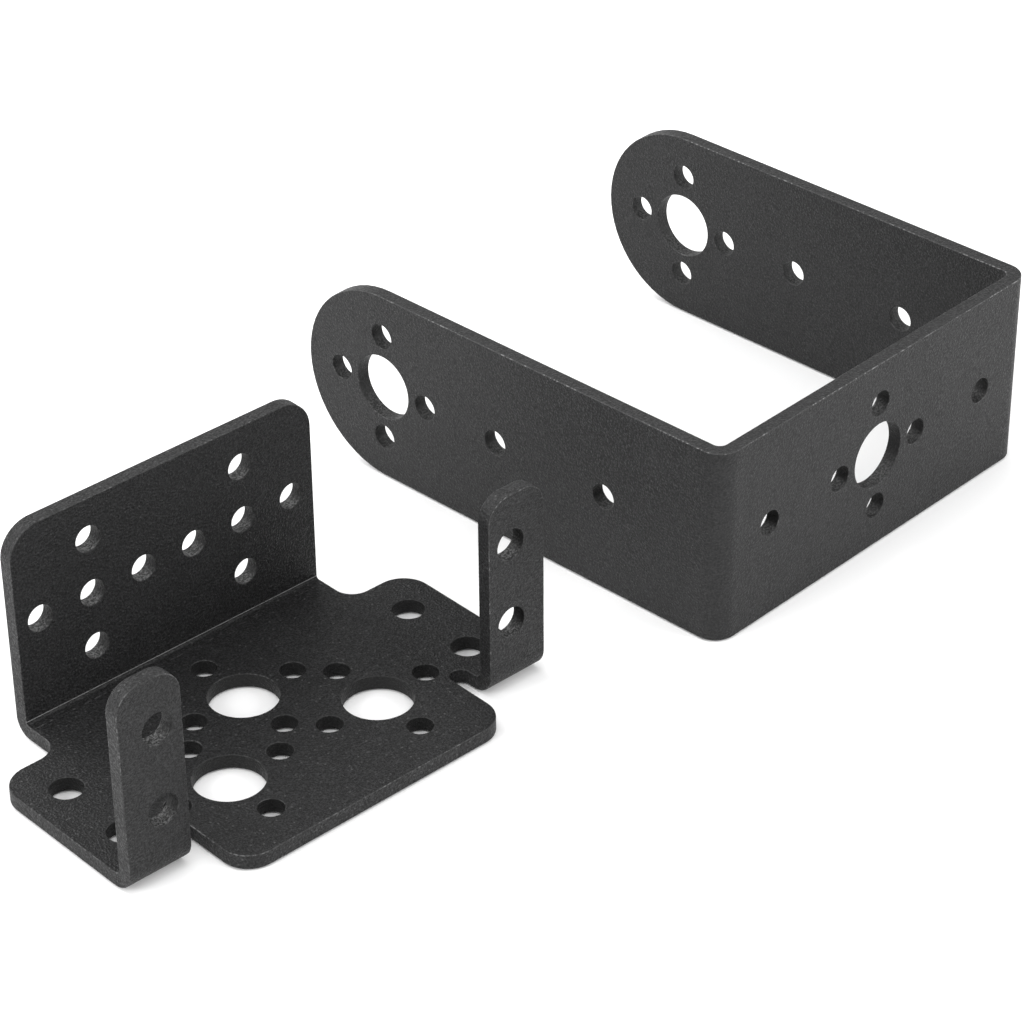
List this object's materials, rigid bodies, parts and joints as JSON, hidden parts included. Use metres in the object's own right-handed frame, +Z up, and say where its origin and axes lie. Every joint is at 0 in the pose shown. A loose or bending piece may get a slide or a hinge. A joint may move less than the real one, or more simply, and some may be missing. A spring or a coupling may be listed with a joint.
{
  "type": "pan tilt camera mount",
  "caption": "Two folded black sheet-metal brackets: a servo bracket with base, wall, ears and tabs, and a long U bracket whose arms swing on its servo.",
  "frame": {"origin": "bottom centre of the pair as they lie on a flat surface", "axes": "+X from the servo bracket to the U bracket, +Y towards the wall and the arms' ends, +Z up"},
  "size_m": [0.1314, 0.069, 0.0266],
  "materials": {
    "servo_bracket_coat": "fine sand-textured matte black powder coat on aluminium sheet",
    "u_bracket_coat": "fine sand-textured matte black powder coat on aluminium sheet"
  },
  "bodies": {
    "servo_bracket": {"servo_bracket": "servo_bracket_coat"},
    "u_bracket": {"u_bracket": "u_bracket_coat"}
  },
  "joints": [
    {"name": "u_bracket_lift", "type": "slide", "parent": "servo_bracket", "child": "u_bracket", "axis": [0, 0, 1], "range_m": [0, 0.06]}
  ]
}
